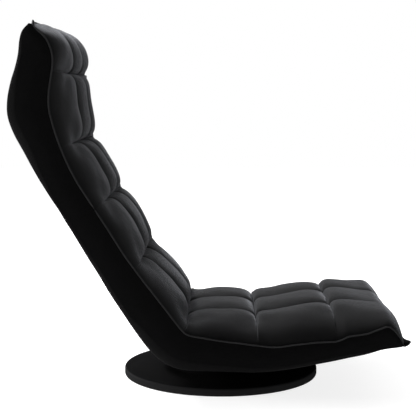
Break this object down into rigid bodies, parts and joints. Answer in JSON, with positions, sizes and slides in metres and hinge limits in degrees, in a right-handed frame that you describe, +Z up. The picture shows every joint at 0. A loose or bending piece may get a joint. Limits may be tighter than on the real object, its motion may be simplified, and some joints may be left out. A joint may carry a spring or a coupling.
{
  "type": "floor chair",
  "caption": "Legless black floor chair: a tufted cushion with a ratchet-reclining back and headrest on a low round swivel base.",
  "frame": {"origin": "on the floor under the swivel axis, at the centre of the floor pad's lower face", "axes": "+X the way the sitter faces, +Y to the sitter's left, +Z up; stored with the seat facing +X"},
  "size_m": [0.8478, 0.5112, 0.8033],
  "materials": {
    "tufted_cover": "soft matte black brushed polyester with a faint sheen",
    "side_cover": "matte black plain-weave polyester",
    "piping": "black cord piping in the cover cloth",
    "foam_core": "polyurethane foam, hidden by the cover",
    "webbing": "woven elastic webbing",
    "base_paint": "fine matte black powder coat",
    "floor_pad": "matte black sheet rubber",
    "frame_paint": "satin black powder coat",
    "zinc_steel": "zinc-plated steel",
    "bearing_steel": "ground steel, greased",
    "ball_cage": "natural nylon"
  },
  "bodies": {
    "base": {"base_floor_pad": "floor_pad", "base_plate": "base_paint", "swivel_lower_race": "bearing_steel", "swivel_lower_screws": "zinc_steel", "swivel_king_rivet": "zinc_steel"},
    "ball_ring": {"swivel_balls": "bearing_steel", "swivel_ball_cage": "ball_cage"},
    "seat": {"swivel_upper_race": "bearing_steel", "swivel_upper_screws": "zinc_steel", "seat_mount_dish": "frame_paint", "seat_mount_bolts": "zinc_steel", "seat_mount_nuts": "zinc_steel", "seat_rail_left": "frame_paint", "seat_rail_right": "frame_paint", "seat_front_bar": "frame_paint", "seat_cross_bar_front": "frame_paint", "seat_cross_bar_rear": "frame_paint", "seat_webbing": "webbing", "seat_foam": "foam_core", "seat_quilt": "tufted_cover", "seat_side_panel_left": "side_cover", "seat_side_panel_right": "side_cover", "seat_bottom_panel": "side_cover", "seat_piping": "piping", "seat_front_hem": "piping", "recline_hinge_cheeks_left": "zinc_steel", "recline_hinge_cheeks_right": "zinc_steel", "recline_pivots": "zinc_steel", "recline_pawl_springs": "zinc_steel"},
    "recline_pawl_l": {"recline_pawl_left": "zinc_steel"},
    "recline_pawl_r": {"recline_pawl_right": "zinc_steel"},
    "back": {"recline_ratchet_left": "zinc_steel", "recline_ratchet_right": "zinc_steel", "back_rail_left": "frame_paint", "back_rail_right": "frame_paint", "back_cross_bar_lower": "frame_paint", "back_cross_bar_upper": "frame_paint", "back_webbing": "webbing", "back_foam": "foam_core", "back_quilt": "tufted_cover", "back_side_panel_left": "side_cover", "back_side_panel_right": "side_cover", "back_rear_panel": "side_cover", "back_piping": "piping", "head_hinge_cheeks_left": "zinc_steel", "head_hinge_cheeks_right": "zinc_steel", "head_pivots": "zinc_steel", "head_pawl_springs": "zinc_steel"},
    "head_pawl_l": {"head_pawl_left": "zinc_steel"},
    "head_pawl_r": {"head_pawl_right": "zinc_steel"},
    "head": {"head_ratchet_left": "zinc_steel", "head_ratchet_right": "zinc_steel", "head_frame_loop": "frame_paint", "head_foam": "foam_core", "head_quilt": "tufted_cover", "head_side_panel_left": "side_cover", "head_side_panel_right": "side_cover", "head_rear_panel": "side_cover", "head_piping": "piping", "head_top_hem": "piping"}
  },
  "joints": [
    {"name": "swivel", "type": "hinge", "parent": "base", "child": "seat", "pos_m": [0, 0, 0], "axis": [0, 0, 1], "continuous": true},
    {"name": "ball_ring_turn", "type": "hinge", "parent": "base", "child": "ball_ring", "pos_m": [0, 0, 0], "axis": [0, 0, 1], "continuous": true},
    {"name": "recline", "type": "hinge", "parent": "seat", "child": "back", "pos_m": [-0.1, 0, 0.114], "axis": [0, 1, 0], "range_deg": [-56.25, 31.25]},
    {"name": "headrest_tilt", "type": "hinge", "parent": "back", "child": "head", "pos_m": [-0.39622, 0, 0.60215], "axis": [0, 1, 0], "range_deg": [-43.75, 0]},
    {"name": "recline_pawl_left_lift", "type": "hinge", "parent": "seat", "child": "recline_pawl_l", "pos_m": [-0.08512, 0.2111, 0.08578], "axis": [0, 1, 0], "range_deg": [-8.5, 0]},
    {"name": "recline_pawl_right_lift", "type": "hinge", "parent": "seat", "child": "recline_pawl_r", "pos_m": [-0.08512, -0.2111, 0.08578], "axis": [0, 1, 0], "range_deg": [-8.5, 0]},
    {"name": "headrest_pawl_left_lift", "type": "hinge", "parent": "back", "child": "head_pawl_l", "pos_m": [-0.41263, 0.2137, 0.57479], "axis": [0, 1, 0], "range_deg": [-8.5, 0]},
    {"name": "headrest_pawl_right_lift", "type": "hinge", "parent": "back", "child": "head_pawl_r", "pos_m": [-0.41263, -0.2137, 0.57479], "axis": [0, 1, 0], "range_deg": [-8.5, 0]}
  ],
  "couplings": [
    {"joint": "ball_ring_turn", "follows": "swivel", "ratio": 0.5},
    {"joint": "recline_pawl_right_lift", "follows": "recline_pawl_left_lift", "ratio": 1},
    {"joint": "headrest_pawl_right_lift", "follows": "headrest_pawl_left_lift", "ratio": 1}
  ]
}
